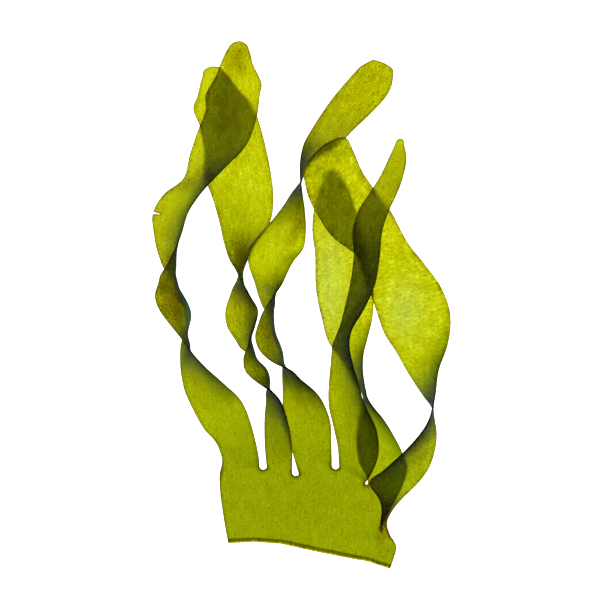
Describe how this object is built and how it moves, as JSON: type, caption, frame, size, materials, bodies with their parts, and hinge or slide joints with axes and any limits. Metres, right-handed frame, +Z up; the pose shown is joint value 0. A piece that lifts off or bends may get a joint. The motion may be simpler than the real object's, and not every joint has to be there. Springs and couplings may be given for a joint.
{
  "type": "kelp frond",
  "caption": "Cut kelp frond lying flat: a thick palm with a straight cut edge, forked into long, thin, twisting straps that cross over one another.",
  "frame": {"origin": "middle of the frond's footprint, on the surface that it lies on", "axes": "+Y from the cut edge of the palm towards the strap tips, +X to the right seen from above, +Z up from the surface"},
  "size_m": [0.2824, 0.4998, 0.048],
  "materials": {
    "palm": "smooth, moist, translucent kelp",
    "strap": "smooth, moist, translucent kelp"
  },
  "bodies": {
    "root": {"palm": "palm", "strap_1": "strap", "strap_2": "strap", "strap_3": "strap", "strap_4": "strap", "strap_5": "strap", "strap_6": "strap"}
  },
  "joints": []
}
